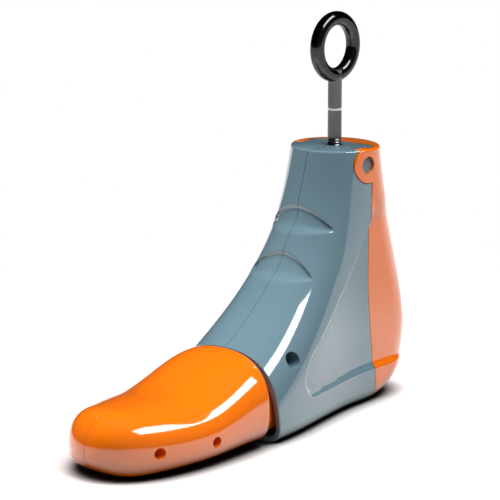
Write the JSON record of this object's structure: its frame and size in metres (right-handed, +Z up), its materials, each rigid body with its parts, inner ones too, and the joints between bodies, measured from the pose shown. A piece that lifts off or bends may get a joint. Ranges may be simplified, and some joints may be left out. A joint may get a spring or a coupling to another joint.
{
  "type": "boot stretcher",
  "caption": "Boot-shaped stretcher: a ring-topped screw drives a wedge that swings the hinged heel back and spreads the split toe.",
  "frame": {"origin": "middle of the footprint on the floor, under the assembly at rest", "axes": "toe points to -Y, heel to +Y, width along X, +Z up"},
  "size_m": [0.077, 0.2559, 0.2264],
  "materials": {
    "grey_shell": "gloss moulded",
    "orange_shell": "gloss moulded",
    "dark_steel": "polished, dark plated",
    "steel": "plain",
    "spring_steel": "drawn wire",
    "white_band": "plain",
    "black_bush": "plain",
    "pale_plastic": "plain",
    "grey_pin": "plain"
  },
  "bodies": {
    "body": {"body_left": "grey_shell", "body_right": "grey_shell", "guide_bush": "black_bush", "thread_nut": "steel", "toe_pin_left": "steel", "toe_pin_right": "steel", "heel_pin_left": "grey_pin", "heel_pin_right": "grey_pin", "body_screws": "steel", "toe_spring": "spring_steel", "heel_springs": "spring_steel"},
    "heel": {"heel": "orange_shell"},
    "wedge": {"wedge_block": "pale_plastic"},
    "screw": {"eye_screw": "dark_steel", "marker_ring": "white_band", "thrust_washer": "steel", "retaining_clip": "spring_steel"},
    "push_rod": {"push_rod": "pale_plastic"},
    "toe_left": {"toe_left": "orange_shell"},
    "toe_right": {"toe_right": "orange_shell"}
  },
  "joints": [
    {"name": "wedge_slide", "type": "slide", "parent": "body", "child": "wedge", "axis": [0, 0, -1], "range_m": [0, 0.024]},
    {"name": "ring_turn", "type": "hinge", "parent": "wedge", "child": "screw", "pos_m": [0, 0.0768, 0.15], "axis": [0, 0, -1], "range_deg": [0, 4320]},
    {"name": "heel_swing", "type": "hinge", "parent": "body", "child": "heel", "pos_m": [0, 0.0753, 0.141], "axis": [1, 0, 0], "range_deg": [0, 4.75], "deforming": ["heel_springs"]},
    {"name": "rod_push", "type": "slide", "parent": "body", "child": "push_rod", "axis": [0, -1, 0], "range_m": [0, 0.009]},
    {"name": "toe_right_swing", "type": "hinge", "parent": "body", "child": "toe_right", "pos_m": [0.013, -0.009, 0.02], "axis": [0, 0, 1], "range_deg": [0, 5.5], "deforming": ["toe_spring"]},
    {"name": "toe_left_swing", "type": "hinge", "parent": "body", "child": "toe_left", "pos_m": [-0.013, -0.009, 0.02], "axis": [0, 0, -1], "range_deg": [0, 5.5]}
  ],
  "couplings": [
    {"joint": "wedge_slide", "follows": "ring_turn", "m_per_rad": 0.0003183},
    {"joint": "heel_swing", "follows": "ring_turn", "ratio": 0.001094},
    {"joint": "rod_push", "follows": "ring_turn", "m_per_rad": 0.0001193},
    {"joint": "toe_right_swing", "follows": "ring_turn", "ratio": 0.0012533},
    {"joint": "toe_left_swing", "follows": "ring_turn", "ratio": 0.0012533}
  ]
}
